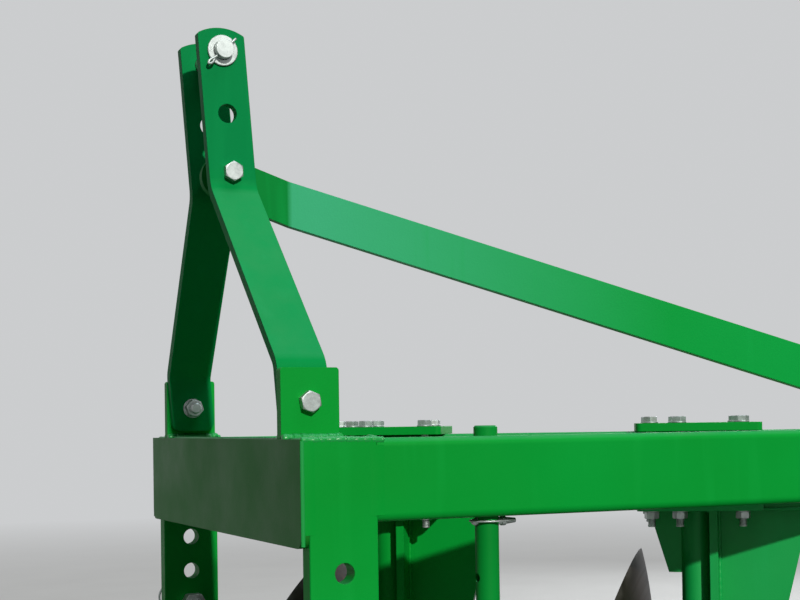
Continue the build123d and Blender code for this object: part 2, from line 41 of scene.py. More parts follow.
# Sizes and places in millimetres and angles in radians, as in the part: back from the cross
# plate's face, right from the left beam's outer face, above the top of the beams
beam_top = 800.0
beam_height = 100.0
beam_width = 60.0
frame_width = 683.0
plate_thickness = 10.5
plate_height = 128.0
leg_thickness = 25.0
leg_width = 87.0
first_hole_above = -158.5
hole_pitch = 54.0
pin_collar = 14.0
pin_length = 100.0
pin_hole_inset = 16.0
tube_rear = 80.5
lug_right = 70.0
lug_front = 1.5
lug_width = 76.0
lug_thickness = 14.0
lug_bolt_back = 38.0
lug_bolt_above = 45.0
bar_thickness = 14.0
mast_gap = 73.0
mast_top = 555.5
mast_lean = 38.0
top_pin_above = 524.5
brace_bolt_above = 361.0
brace_thickness = 12.0
brace_bend_back = 112.0
brace_rear_back = 955.0
brace_rear_above = 45.0
brace_lug_thickness = 14.0
first_post_back = 316.0
first_post_right = 467.5
post_pitch_back = 393.0
post_pitch_right = 250.0
disc_count = 3
disc_numbers = range(1, disc_count + 1)
clamp_thickness = 12.0
flange_thickness = 16.0
clamp_bolt_places = (-67.0, -26.0, 64.0)
clamp_bolt_rows = (-55.0, 55.0)
post_diameter = 45.0
strip_width = 80.0
strip_thickness = 12.0
web_thickness = 12.0
web_top = 165.0
disc_radius = 330.0
disc_sphere = 600.0
disc_thickness = 6.0
disc_flat_radius = 75.0
disc_reach = 195.0
hub_flange_thickness = 14.0
hub_gap = 3.0
housing_diameter = 104.0
housing_length = 94.0
stand_back = 258.0
stand_hole_above = -107.0
sleeve_diameter = 82.0
sleeve_height = 150.0
sleeve_above = 22.0
tail_along = 210.0
wheel_trail = 185.0
wheel_side = 78.0
wheel_lean = radians(12)
wheel_radius = 250.0
wheel_flange = 8.0
wheel_hub_length = 88.0
yaw = radians(38.5)
tilt = radians(19.5)

# How round the finishes make sharp edges, and how close two mesh points are joined
edge_radius = 1.4
merge_distance = 0.01

# The machine's own directions
beam_slope = atan2(post_pitch_right, post_pitch_back)
beam_along = Vector((-cos(beam_slope), sin(beam_slope), 0))
beam_across = Vector((-sin(beam_slope), -cos(beam_slope), 0))
axle_level = Vector((cos(yaw), -sin(yaw), 0))
axle_side = Vector((-sin(yaw), -cos(yaw), 0))
disc_axle = Vector((cos(yaw) * cos(tilt), -sin(yaw) * cos(tilt), sin(tilt)))
axle_up = disc_axle.cross(axle_side)
wheel_axle = Vector((0, cos(wheel_lean), sin(wheel_lean)))
to_left = Vector((0, 1, 0))
to_right = Vector((0, -1, 0))
to_rear = Vector((-1, 0, 0))
to_front = Vector((1, 0, 0))
up = Vector((0, 0, 1))
down = Vector((0, 0, -1))
sides = (("left", 0.0, to_left), ("right", frame_width, to_right))

front_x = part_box("cross_plate")[1].x
land_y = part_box("left_beam")[1].y


def place(back, right, above=0.0):
    """Point given by its distances in millimetres back, right and above."""
    return Vector((front_x - back * mm, land_y - right * mm, (beam_top + above) * mm))


def post_place(number, above=0.0):
    """Centre of a disc standard's post."""
    back = first_post_back + (number - 1) * post_pitch_back
    right = first_post_right - (number - 1) * post_pitch_right
    return place(back, right, above)


def mast_centre(above):
    """Middle of the mast bars, back from the cross plate, at a height."""
    return lug_bolt_back - mast_lean / (mast_top - lug_bolt_above) * (above - lug_bolt_above)


def disc_centre(number):
    """Middle of a disc's rim."""
    return post_place(number, disc_radius * cos(tilt) - beam_top) + axle_level * disc_reach * mm


def round_axle(centre, angle, radius):
    """Point at an angle and a radius in millimetres round a disc's axle."""
    return centre + (axle_side * cos(angle) + axle_up * sin(angle)) * (radius * mm)


# Finishes

# Where a mix node has its two colours and the mixed one
first_colour = 6
second_colour = 7
mixed_colour = 2


def new_material(name):
    """A new material, its nodes, its shader and the coordinates of a spot on its piece."""
    material = bpy.data.materials.new(name)
    material.use_nodes = True
    tree = material.node_tree
    shader = tree.nodes["Principled BSDF"]
    coordinates = tree.nodes.new("ShaderNodeTexCoord")
    return material, tree, shader, coordinates.outputs["Object"]


def noise(tree, source, scale, detail=4.0, roughness=0.55):
    """A noise pattern, with its scale in cycles per metre."""
    pattern = tree.nodes.new("ShaderNodeTexNoise")
    pattern.inputs["Scale"].default_value = scale
    pattern.inputs["Detail"].default_value = detail
    pattern.inputs["Roughness"].default_value = roughness
    tree.links.new(source, pattern.inputs["Vector"])
    return pattern.outputs["Fac"]


def stretch(tree, source, scale, rotation=(0, 0, 0)):
    """The same coordinates turned and stretched."""
    mapping = tree.nodes.new("ShaderNodeMapping")
    mapping.inputs["Scale"].default_value = scale
    mapping.inputs["Rotation"].default_value = rotation
    tree.links.new(source, mapping.inputs["Vector"])
    return mapping.outputs["Vector"]


def ramp(tree, source, low, high, dark=0.0, bright=1.0):
    """Spread a value between two limits over a range."""
    spread = tree.nodes.new("ShaderNodeMapRange")
    spread.inputs["From Min"].default_value = low
    spread.inputs["From Max"].default_value = high
    spread.inputs["To Min"].default_value = dark
    spread.inputs["To Max"].default_value = bright
    tree.links.new(source, spread.inputs["Value"])
    return spread.outputs["Result"]


def blend_colours(tree, amount, first, second):
    """Mix two colours, each a colour or a socket."""
    mix = tree.nodes.new("ShaderNodeMix")
    mix.data_type = "RGBA"
    tree.links.new(amount, mix.inputs["Factor"])
    for index, colour in ((first_colour, first), (second_colour, second)):
        if isinstance(colour, tuple):
            mix.inputs[index].default_value = colour + (1.0,)
        else:
            tree.links.new(colour, mix.inputs[index])
    return mix.outputs[mixed_colour]


def combine(tree, operation, first, second=0.0):
    """One math step on one or two values, each a number or a socket, kept between 0 and 1."""
    step = tree.nodes.new("ShaderNodeMath")
    step.operation = operation
    step.use_clamp = True
    for index, value in enumerate((first, second)):
        if isinstance(value, float):
            step.inputs[index].default_value = value
        else:
            tree.links.new(value, step.inputs[index])
    return step.outputs["Value"]


def vector_step(tree, operation, source, other=None):
    """One vector step on a socket, with a fixed vector where it takes two."""
    step = tree.nodes.new("ShaderNodeVectorMath")
    step.operation = operation
    tree.links.new(source, step.inputs[0])
    if other is not None:
        step.inputs[1].default_value = other
    return step.outputs["Vector" if operation == "SUBTRACT" else "Value"]


def facing_up(tree):
    """How far a surface faces upwards, from 0 to 1."""
    geometry = tree.nodes.new("ShaderNodeNewGeometry")
    parts = tree.nodes.new("ShaderNodeSeparateXYZ")
    tree.links.new(geometry.outputs["Normal"], parts.inputs["Vector"])
    return ramp(tree, parts.outputs["Z"], 0.40, 0.95)


def bump(tree, shader, height, strength, distance, soft_edges=True):
    """Raise the surface by a pattern, distance in metres, and soften its sharp edges if asked."""
    relief = tree.nodes.new("ShaderNodeBump")
    if soft_edges:
        edges = tree.nodes.new("ShaderNodeBevel")
        edges.samples = 4
        edges.inputs["Radius"].default_value = edge_radius * mm
        tree.links.new(edges.outputs["Normal"], relief.inputs["Normal"])
    relief.inputs["Strength"].default_value = strength
    relief.inputs["Distance"].default_value = distance
    tree.links.new(height, relief.inputs["Height"])
    tree.links.new(relief.outputs["Normal"], shader.inputs["Normal"])


def green_enamel(
    name, bright, deep, dust_amount=0.10, shine=(0.38, 0.52), gloss=0.08,
    soft_edges=True, fades=(), glow=(1.0, 1.0, 1.0),
):
    """Sprayed gloss enamel: slow drifts of tone, runs, orange peel, a painted sky reflection that makes
    faces turned up paler, dust on top, small scuffs.

    Shine is its range of roughness, gloss the strength of its reflections and glow their tint.
    Each fade is a colour that takes over along an axis, from one coordinate in metres to another.
    """
    material, tree, shader, spot = new_material(name)
    drift = ramp(tree, noise(tree, spot, 3.1, 3.0), 0.35, 0.65)
    coat = blend_colours(tree, drift, bright, deep)
    for axis, start, end, colour in fades:
        parts = tree.nodes.new("ShaderNodeSeparateXYZ")
        tree.links.new(spot, parts.inputs["Vector"])
        coat = blend_colours(tree, ramp(tree, parts.outputs[axis], start, end), coat, colour)
    runs = ramp(tree, noise(tree, stretch(tree, spot, (38, 38, 4)), 1.0, 2.0), 0.55, 0.75, 0.0, 0.30)
    coat = blend_colours(tree, runs, coat, (bright[0] + 0.004, bright[1] * 1.12, bright[2] * 1.35))
    skyward = facing_up(tree)
    # Faces turned up are blended towards a paler bluish green, a painted reflection of the sky; dust then
    # gathers on them in patches
    coat = blend_colours(tree, combine(tree, "MULTIPLY", skyward, 0.30), coat, (0.06, 0.40, 0.20))
    dust_patches = ramp(tree, noise(tree, spot, 14.0, 6.0, 0.65), 0.38, 0.72)
    dust = combine(tree, "MULTIPLY", dust_patches, skyward)
    dust = combine(tree, "MULTIPLY", dust, dust_amount)
    coat = blend_colours(tree, dust, coat, (0.30, 0.33, 0.24))
    streaks = stretch(tree, spot, (60, 60, 190), (0.4, 0.2, 0.9))
    scuffs = ramp(tree, noise(tree, streaks, 1.0, 5.0, 0.7), 0.735, 0.77)
    coat = blend_colours(tree, combine(tree, "MULTIPLY", scuffs, 0.55), coat, (0.11, 0.34, 0.17))
    tree.links.new(coat, shader.inputs["Base Color"])
    rough = ramp(tree, noise(tree, spot, 9.0, 5.0), 0.3, 0.7, shine[0], shine[1])
    rough = combine(tree, "ADD", rough, combine(tree, "MULTIPLY", skyward, 0.22))
    tree.links.new(rough, shader.inputs["Roughness"])
    shader.inputs["Specular IOR Level"].default_value = gloss
    shader.inputs["Specular Tint"].default_value = glow + (1.0,)
    peel = noise(tree, spot, 420.0, 2.0, 0.5)
    waves = noise(tree, spot, 26.0, 2.0, 0.5)
    relief = combine(tree, "ADD", combine(tree, "MULTIPLY", peel, 0.35), waves)
    bump(tree, shader, relief, 0.20, 0.0016, soft_edges)
    return material


def plated_steel(name, base, rough_low, rough_high, stain):
    """Zinc plate: cloudy crystals, fine grain and a few dull stains."""
    material, tree, shader, spot = new_material(name)
    clouds = ramp(tree, noise(tree, spot, 95.0, 5.0, 0.6), 0.35, 0.65)
    coat = blend_colours(tree, clouds, base, tuple(channel * 0.78 for channel in base))
    stains = ramp(tree, noise(tree, spot, 34.0, 6.0, 0.7), 0.56, 0.72, 0.0, stain)
    coat = blend_colours(tree, stains, coat, (0.22, 0.19, 0.14))
    tree.links.new(coat, shader.inputs["Base Color"])
    shader.inputs["Metallic"].default_value = 0.85
    rough = ramp(tree, noise(tree, spot, 160.0, 4.0), 0.3, 0.7, rough_low, rough_high)
    tree.links.new(rough, shader.inputs["Roughness"])
    bump(tree, shader, noise(tree, spot, 900.0, 2.0), 0.12, 0.0004)
    return material


def disc_steel(name, centre):
    """Rolled plough steel: turned rings round the disc's axle, mill scale, a worn bright rim."""
    material, tree, shader, spot = new_material(name)
    centred = vector_step(tree, "SUBTRACT", spot, centre)
    reach = combine(tree, "POWER", vector_step(tree, "LENGTH", centred), 2.0)
    depth = combine(tree, "POWER", vector_step(tree, "DOT_PRODUCT", centred, disc_axle), 2.0)
    radius = combine(tree, "SQRT", combine(tree, "SUBTRACT", reach, depth))
    rings = tree.nodes.new("ShaderNodeTexNoise")
    rings.noise_dimensions = "1D"
    rings.inputs["Scale"].default_value = 120.0
    rings.inputs["Detail"].default_value = 3.0
    tree.links.new(radius, rings.inputs["W"])
    scale_patches = ramp(tree, noise(tree, spot, 11.0, 6.0, 0.62), 0.36, 0.66)
    coat = blend_colours(tree, scale_patches, (0.012, 0.008, 0.006), (0.028, 0.019, 0.015))
    ring_marks = ramp(tree, rings.outputs["Fac"], 0.35, 0.7, 0.0, 0.14)
    coat = blend_colours(tree, ring_marks, coat, (0.055, 0.042, 0.036))
    rim = ramp(tree, radius, 0.316, 0.329, 0.0, 0.7)
    rim = combine(tree, "MULTIPLY", rim, ramp(tree, noise(tree, spot, 30.0, 4.0), 0.3, 0.6))
    coat = blend_colours(tree, rim, coat, (0.12, 0.105, 0.095))
    rust = ramp(tree, noise(tree, spot, 19.0, 7.0, 0.7), 0.60, 0.72, 0.0, 0.6)
    coat = blend_colours(tree, rust, coat, (0.11, 0.045, 0.02))
    tree.links.new(coat, shader.inputs["Base Color"])
    shader.inputs["Metallic"].default_value = 0.15
    shader.inputs["Specular IOR Level"].default_value = 0.12
    tree.links.new(ramp(tree, rings.outputs["Fac"], 0.3, 0.7, 0.45, 0.50), shader.inputs["Roughness"])
    bump(tree, shader, rings.outputs["Fac"], 0.03, 0.0005)
    return material


def greasy_iron(name):
    """Dark cast or machined steel with a film of grease."""
    material, tree, shader, spot = new_material(name)
    film = ramp(tree, noise(tree, spot, 40.0, 6.0, 0.6), 0.35, 0.68)
    coat = blend_colours(tree, film, (0.035, 0.032, 0.030), (0.10, 0.090, 0.080))
    tree.links.new(coat, shader.inputs["Base Color"])
    shader.inputs["Metallic"].default_value = 0.5
    tree.links.new(ramp(tree, film, 0.0, 1.0, 0.28, 0.55), shader.inputs["Roughness"])
    bump(tree, shader, noise(tree, spot, 300.0, 5.0), 0.35, 0.0006)
    return material


main_greens = ((0.001, 0.335, 0.036), (0.001, 0.300, 0.028))
# Weld beads get a slightly paler green as a painted highlight, besides their glossier finish
weld_greens = ((0.004, 0.345, 0.060), (0.002, 0.310, 0.045))
# The standards behind the first get a brighter, bluer copy of the green: painted light
rear_greens = ((0.003, 0.385, 0.072), (0.002, 0.345, 0.058))
enamel = green_enamel("green_enamel", *main_greens)
seam_enamel = green_enamel("seam_enamel", *main_greens, soft_edges=False)
weld_enamel = green_enamel("weld_enamel", *weld_greens, shine=(0.24, 0.36), gloss=0.42, soft_edges=False)
rear_enamel = green_enamel("rear_enamel", *rear_greens, gloss=0.34)
rear_seam_enamel = green_enamel("rear_seam_enamel", *rear_greens, gloss=0.34, soft_edges=False)
# The cross plate's green is darker than the rest of the frame: painted shade
plate_enamel = green_enamel(
    "plate_enamel", (0.006, 0.185, 0.016), (0.004, 0.160, 0.012), gloss=0.12, glow=(1.0, 0.93, 0.80),
)
# The mast bars turn darker towards their upper ends: painted shade
mast_enamel = green_enamel(
    "mast_enamel", (0.001, 0.285, 0.062), (0.001, 0.265, 0.055), gloss=0.03,
    fades=[("Z", 1.13, 1.17, (0.001, 0.240, 0.060))],
)
brace_bend_x = front_x - brace_bend_back * mm
# Behind its bend the brace turns paler and bluer towards the bend, a painted reflection of the sky; in
# front of the bend it is darker, a painted shadow
brace_enamel = green_enamel(
    "brace_sheen_and_shade_enamel", (0.001, 0.375, 0.055), (0.001, 0.355, 0.048), gloss=0.05,
    fades=[("X", brace_bend_x - 0.52, brace_bend_x - 0.04, (0.052, 0.475, 0.215)),
           ("X", brace_bend_x - 0.003, brace_bend_x + 0.004, (0.001, 0.235, 0.036))],
)
stand_enamel = green_enamel("scuffed_green_enamel", (0.003, 0.30, 0.040), (0.001, 0.235, 0.026), 0.18)
wheel_enamel = green_enamel("worn_green_enamel", (0.003, 0.285, 0.036), (0.001, 0.215, 0.022), 0.30)
zinc = plated_steel("zinc_plate", (0.46, 0.50, 0.48), 0.34, 0.52, 0.45)
dull_zinc = plated_steel("dull_zinc_plate", (0.34, 0.36, 0.35), 0.38, 0.55, 0.55)
iron = greasy_iron("greasy_iron")

finish_of = dict.fromkeys(nodes, enamel)
for name in ("lower_pin_left", "lower_pin_right", "top_link_pin", "tail_axle_nut"):
    finish_of[name] = zinc
for name in ("stand_bar", "stand_foot"):
    finish_of[name] = stand_enamel
finish_of["tail_wheel"] = wheel_enamel
finish_of["mast_bar_left"] = finish_of["mast_bar_right"] = mast_enamel
finish_of["brace"] = brace_enamel
finish_of["cross_plate"] = plate_enamel
for number in disc_numbers:
    finish_of[f"disc_blade_{number}"] = disc_steel(f"disc_steel_{number}", disc_centre(number))
    finish_of[f"disc_hub_{number}"] = iron
    # The rear standards take the brighter copy of the green, painted light
    if number > 1:
        finish_of[f"disc_standard_{number}"] = rear_enamel
for name, node in nodes.items():
    node.data.materials.clear()
    node.data.materials.append(finish_of[name])


# Workshop: how pieces are made


def deselect():
    """Leave nothing selected."""
    bpy.ops.object.select_all(action="DESELECT")


def pick(piece):
    """Select one piece only, as the active one."""
    deselect()
    piece.select_set(True)
    bpy.context.view_layer.objects.active = piece


def in_metres(outline):
    """An outline that is given in millimetres."""
    return [(radius * mm, height * mm) for radius, height in outline]


def traced(name, points):
    """Draw edges from point to point as a new piece, and leave it selected for editing."""
    deselect()
    bpy.ops.mesh.primitive_plane_add(size=0.01)
    piece = bpy.context.object
    piece.name = name
    bpy.ops.object.mode_set(mode="EDIT")
    bpy.ops.mesh.merge(type="CENTER")
    bpy.ops.transform.translate(value=points[0])
    for before, after in zip(points, points[1:]):
        step = [end - start for start, end in zip(before, after)]
        bpy.ops.mesh.extrude_region_move(TRANSFORM_OT_translate={"value": step})
    bpy.ops.mesh.select_all(action="SELECT")
    return piece


def close_editing():
    """Turn all faces outwards and leave the editing of a mesh."""
    bpy.ops.mesh.select_all(action="SELECT")
    bpy.ops.mesh.normals_make_consistent(inside=False)
    bpy.ops.object.mode_set(mode="OBJECT")


def turned(name, outline, steps=24):
    """Turn an outline of (radius, height) points in metres about the Z axis."""
    piece = traced(name, [(radius, 0, height) for radius, height in outline])
    bpy.ops.mesh.spin(steps=steps, angle=2 * pi, center=(0, 0, 0), axis=(0, 0, 1))
    bpy.ops.mesh.select_all(action="SELECT")
    bpy.ops.mesh.remove_doubles(threshold=merge_distance * mm)
    close_editing()
    return piece


def hexagon(name, across, height, chamfers):
    """A hexagon block on Z = 0 with its corners turned down at the top, or at both ends."""
    cut_radius = across / 2 * 0.97
    corner = across / sqrt(3) * 1.01
    drop = (corner - cut_radius) * 0.5
    low = [(0, 0), (cut_radius, 0), (corner, drop)] if chamfers == 2 else [(0, 0), (corner, 0)]
    high = [(corner, height - drop), (cut_radius, height), (0, height)]
    barrel = turned(name + "_barrel", low + high, 36)
    deselect()
    bpy.ops.mesh.primitive_cylinder_add(
        vertices=6, radius=across / sqrt(3), depth=height * 1.2, location=(0, 0, height / 2)
    )
    block = bpy.context.object
    block.name = name
    bpy.ops.object.transform_apply(location=True, rotation=True, scale=True)
    bpy.ops.object.modifier_add(type="BOOLEAN")
    cut = block.modifiers[-1]
    cut.operation = "INTERSECT"
    cut.solver = "EXACT"
    cut.object = barrel
    bpy.ops.object.modifier_apply(modifier=cut.name)
    bpy.data.objects.remove(barrel)
    return block


def joined(pieces, name):
    """Make one piece of several."""
    pick(pieces[0])
    for piece in pieces[1:]:
        piece.select_set(True)
    bpy.ops.object.join()
    piece = bpy.context.object
    piece.name = name
    return piece


def pointing(origin, direction):
    """The matrix that puts a thing at a place with its Z axis along a direction."""
    return Matrix.Translation(origin) @ direction.to_track_quat("Z", "Y").to_matrix().to_4x4()


def set_down(piece, origin, direction, turn=0.0):
    """Turn a piece made along Z so that Z points along the direction, and put it at its place."""
    pick(piece)
    piece.matrix_world = pointing(origin, direction) @ Matrix.Rotation(turn, 4, "Z")
    bpy.ops.object.transform_apply(location=True, rotation=True, scale=True)
    return piece


def copied(pattern):
    """A copy with a mesh of its own."""
    pick(pattern)
    bpy.ops.object.duplicate()
    return bpy.context.object


def fit_up(piece, name, material, body, smooth=20):
    """Name and finish a piece, and let it ride on its body."""
    piece.name = name
    piece.data.name = name
    piece.data.materials.clear()
    piece.data.materials.append(material)
    pick(piece)
    bpy.ops.object.shade_smooth_by_angle(angle=radians(smooth))
    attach(piece, body)


# Fasteners, one pattern for each kind of bolt

# Sizes of two threads: diameter, pitch, width across flats, height of the head and of the nut
m12 = (12 * mm, 1.75 * mm, 19 * mm, 7.5 * mm, 10 * mm)
m16 = (16 * mm, 2 * mm, 24 * mm, 10 * mm, 13 * mm)
nut_turn = radians(17)


def washer(name, radius, thickness, bore):
    """A flat washer lying on Z = 0."""
    edge = thickness * 0.2
    outline = [
        (bore, 0),
        (radius - edge, 0),
        (radius, edge),
        (radius, thickness - edge),
        (radius - edge, thickness),
        (bore, thickness),
        (bore, 0),
    ]
    return turned(name, outline, 32)


def threaded_outline(thread, start, end, pitch):
    """Outline of a shank's threaded end, from the start down to the end."""
    radius = thread / 2
    root = radius - 0.61 * pitch
    points = []
    height = start
    while height - pitch > end + pitch * 0.6:
        points.append((radius, height))
        points.append((radius, height - pitch * 0.15))
        points.append((root, height - pitch * 0.5))
        points.append((root, height - pitch * 0.6))
        height -= pitch
    points.append((radius, height))
    points.append((radius, end + pitch * 0.5))
    points.append((root, end))
    points.append((0, end))
    return points


def bolt(name, size, grip, past, head_washer):
    """A bolt along Z: its head's seat at Z = 0, washer and nut at the end of its grip.

    The thread ends past the nut by a length in metres.
    """
    thread, pitch, across, head_height, nut_height = size
    washer_thickness = thread * 0.19
    washer_size = (thread * 0.94, washer_thickness, thread * 0.52)
    pieces = []
    lift = washer_thickness if head_washer else 0.0
    if head_washer:
        pieces.append(washer("head_washer", *washer_size))
    head = hexagon("head", across, head_height, 1)
    pieces.append(set_down(head, Vector((0, 0, lift)), up))
    thread_start = -grip - washer_thickness
    nut_washer = washer("nut_washer", *washer_size)
    pieces.append(set_down(nut_washer, Vector((0, 0, thread_start)), up))
    nut_low = thread_start - nut_height
    nut = hexagon("nut", across, nut_height, 2)
    pieces.append(set_down(nut, Vector((0, 0, nut_low)), up, nut_turn))
    shank_top = lift + head_height * 0.5
    shank = [(0, shank_top), (thread / 2, shank_top), (thread / 2, thread_start)]
    shank += threaded_outline(thread, thread_start - pitch * 0.2, nut_low - past, pitch)
    pieces.append(turned("shank", shank, 20))
    return joined(pieces, name)


def place_bolts(pattern, spots, name, material, body):
    """Put a copy of a bolt at each spot, (seat, direction of its head, turn), as one piece."""
    copies = [set_down(copied(pattern), seat, direction, turn) for seat, direction, turn in spots]
    piece = joined(copies, name) if len(copies) > 1 else copies[0]
    fit_up(piece, name, material, body)


def discard(pattern):
    """Remove a pattern that has been copied."""
    bpy.data.objects.remove(pattern)


# Clamp bolts: six through each clamp plate and the flange under the beam
clamp_grip = (clamp_thickness + beam_height + flange_thickness) * mm
clamp_bolt = bolt("clamp_bolt", m12, clamp_grip, 12 * mm, head_washer=True)
for number in disc_numbers:
    spots = []
    for index, along in enumerate(clamp_bolt_places):
        for row, across in enumerate(clamp_bolt_rows):
            seat = post_place(number, clamp_thickness) + (beam_along * along + beam_across * across) * mm
            spots.append((seat, up, radians(13 * (index + 1) + 31 * row + 7 * number)))
    place_bolts(clamp_bolt, spots, f"clamp_bolts_{number}", zinc, "frame")
discard(clamp_bolt)

# Mast bolts: head outside each lug, nut inside the bar
mast_grip = (lug_thickness + bar_thickness) * mm
mast_bolt = bolt("mast_bolt", m16, mast_grip, 7 * mm, head_washer=False)
left_seat = place(lug_bolt_back, lug_right, lug_bolt_above)
right_seat = place(lug_bolt_back, frame_width - lug_right, lug_bolt_above)
place_bolts(mast_bolt, [(left_seat, to_left, radians(10))], "mast_bolt_left", zinc, "frame")
place_bolts(mast_bolt, [(right_seat, to_right, radians(24))], "mast_bolt_right", zinc, "frame")
discard(mast_bolt)

# Brace bolts: one across the mast bars, one through the lug on the main beam
mast_outside = mast_gap + 2 * bar_thickness
bar_face = (frame_width - mast_outside) / 2
brace_bolt = bolt("brace_bolt", m16, mast_outside * mm, 8 * mm, head_washer=False)
front_seat = place(mast_centre(brace_bolt_above), bar_face, brace_bolt_above)
place_bolts(brace_bolt, [(front_seat, to_left, radians(2))], "brace_bolt_front", zinc, "frame")
discard(brace_bolt)
behind_post = brace_rear_back - first_post_back
brace_rear_right = first_post_right - behind_post * post_pitch_right / post_pitch_back
brace_turn = atan2(frame_width / 2 - brace_rear_right, brace_rear_back - brace_bend_back)
brace_aside = Vector((-sin(brace_turn), -cos(brace_turn), 0))
rear_grip = (brace_thickness + brace_lug_thickness) * mm
rear_bolt = bolt("rear_bolt", m16, rear_grip, 8 * mm, head_washer=True)
brace_end = place(brace_rear_back, brace_rear_right, brace_rear_above)
rear_seat = brace_end - brace_aside * (brace_thickness / 2 * mm)
place_bolts(rear_bolt, [(rear_seat, -brace_aside, radians(20))], "brace_bolt_rear", zinc, "frame")
discard(rear_bolt)

# Disc bolts: five cap heads on the flat of each disc, screwed into the hub's flange
half_sphere = sqrt(disc_sphere**2 - disc_radius**2)
back_flat = half_sphere - sqrt(disc_sphere**2 - disc_flat_radius**2)
face_flat = back_flat + disc_thickness
disc_bolt_shank = [(0, 2), (7, 2), (7, -19), (6, -20), (0, -20)]
disc_bolt = joined(
    [
        hexagon("disc_bolt_head", 22 * mm, 9 * mm, 1),
        washer("disc_bolt_collar", 14 * mm, 2.2 * mm, 7 * mm),
        turned("disc_bolt_shank", in_metres(disc_bolt_shank), 16),
    ],
    "disc_bolt",
)
disc_bolt_count = 5
disc_bolt_radius = 53.0
for number in disc_numbers:
    centre = disc_centre(number) + disc_axle * (face_flat * mm)
    spots = []
    for index in range(disc_bolt_count):
        angle = 2 * pi * index / disc_bolt_count + 0.3 * number
        spots.append((round_axle(centre, angle, disc_bolt_radius), disc_axle, angle * 1.7))
    place_bolts(disc_bolt, spots, f"disc_bolts_{number}", dull_zinc, f"disc_{number}")
discard(disc_bolt)

# Hub housings: end cap with four screws and a grease nipple on each
hub_face = back_flat - hub_flange_thickness
housing_rear = hub_face - hub_gap - housing_length
cap_thickness = 6
cap_outline = [(0, 9), (22, 9), (30, 6), (46, 6), (48, 4.5), (48, -1), (0, -1)]
for number in disc_numbers:
    cap_place = disc_centre(number) + disc_axle * (housing_rear * mm)
    cap = set_down(turned("hub_cap", in_metres(cap_outline), 40), cap_place, -disc_axle)
    fit_up(cap, f"hub_cap_{number}", enamel, "frame")
cap_screw = joined(
    [
        hexagon("cap_screw_head", 13 * mm, 5.5 * mm, 1),
        washer("cap_screw_washer", 8.5 * mm, 1.4 * mm, 4 * mm),
    ],
    "cap_screw",
)
cap_screw_count = 4
cap_screw_radius = 38
for number in disc_numbers:
    centre = disc_centre(number) + disc_axle * ((housing_rear - cap_thickness) * mm)
    spots = []
    for index in range(cap_screw_count):
        angle = pi / 4 + 2 * pi * index / cap_screw_count
        spots.append((round_axle(centre, angle, cap_screw_radius), -disc_axle, angle))
    place_bolts(cap_screw, spots, f"hub_cap_screws_{number}", dull_zinc, "frame")
discard(cap_screw)


def grease_nipple(name, seat, direction):
    """Grease nipple: hexagon foot and ball-ended stem."""
    foot = hexagon("nipple_foot", 9 * mm, 4 * mm, 1)
    outline = [(0, 3), (3, 3), (3, 7), (2.2, 9), (3.2, 11), (3.2, 13), (1.6, 15), (0, 15)]
    stem = turned("nipple_stem", in_metres(outline), 16)
    piece = set_down(joined([foot, stem], name), seat, direction)
    fit_up(piece, name, zinc, "frame")


nipple_from_rear = 30
for number in disc_numbers:
    outward = (axle_side * 0.75 - axle_up * 0.66).normalized()
    axle_spot = disc_centre(number) + disc_axle * ((housing_rear + nipple_from_rear) * mm)
    foot_place = axle_spot + outward * (housing_diameter / 2 * mm)
    grease_nipple(f"hub_grease_nipple_{number}", foot_place, outward)


# Pins and their clips


def bent_wire(name, points, thickness, cyclic=False):
    """Round wire bent along points."""
    curve = bpy.data.curves.new(name, "CURVE")
    curve.dimensions = "3D"
    curve.bevel_depth = thickness / 2
    curve.bevel_resolution = 4
    curve.use_fill_caps = True
    spline = curve.splines.new("NURBS")
    spline.points.add(len(points) - 1)
    for point, spot in zip(spline.points, points):
        point.co = (spot[0], spot[1], spot[2], 1)
    spline.use_cyclic_u = cyclic
    spline.use_endpoint_u = not cyclic
    spline.order_u = 4
    spline.resolution_u = 6
    piece = bpy.data.objects.new(name, curve)
    bpy.context.scene.collection.objects.link(piece)
    pick(piece)
    bpy.ops.object.convert(target="MESH")
    return bpy.context.object


def linch_pin(name, hole, through, outward):
    """Linch pin through a hitch pin: flat-headed peg and a sprung ring round the pin's end."""
    outline = [(0, 24), (7, 24), (8, 22), (8, 17), (5, 15), (5, -20), (3, -24), (0, -24)]
    peg = set_down(turned("peg", in_metres(outline), 20), hole, through)
    side = through.cross(outward).normalized()
    ring_gap = radians(36)
    ring_steps = 13
    reach = 21 * mm
    ring_points = []
    for index in range(ring_steps + 1):
        angle = radians(90) + ring_gap / 2 + (2 * pi - ring_gap) * index / ring_steps
        ring_points.append(
            hole + through * (sin(angle) * reach * 1.05) + side * (cos(angle) * reach) + outward * (4 * mm)
        )
    ring = bent_wire("ring", ring_points, 3.6 * mm)
    fit_up(joined([peg, ring], name), name, zinc, "frame")


# The lower link pins sit in the third of each leg's four holes
pin_above = first_hole_above - 2 * hole_pitch
leg_middle = plate_thickness + leg_width / 2
hole_outwards = (pin_collar + pin_length - pin_hole_inset) * mm
for side_name, face_right, outward in sides:
    hole = place(leg_middle, face_right, pin_above) + outward * hole_outwards
    linch_pin(f"lower_linch_pin_{side_name}", hole, (up + to_rear * 0.25).normalized(), outward)

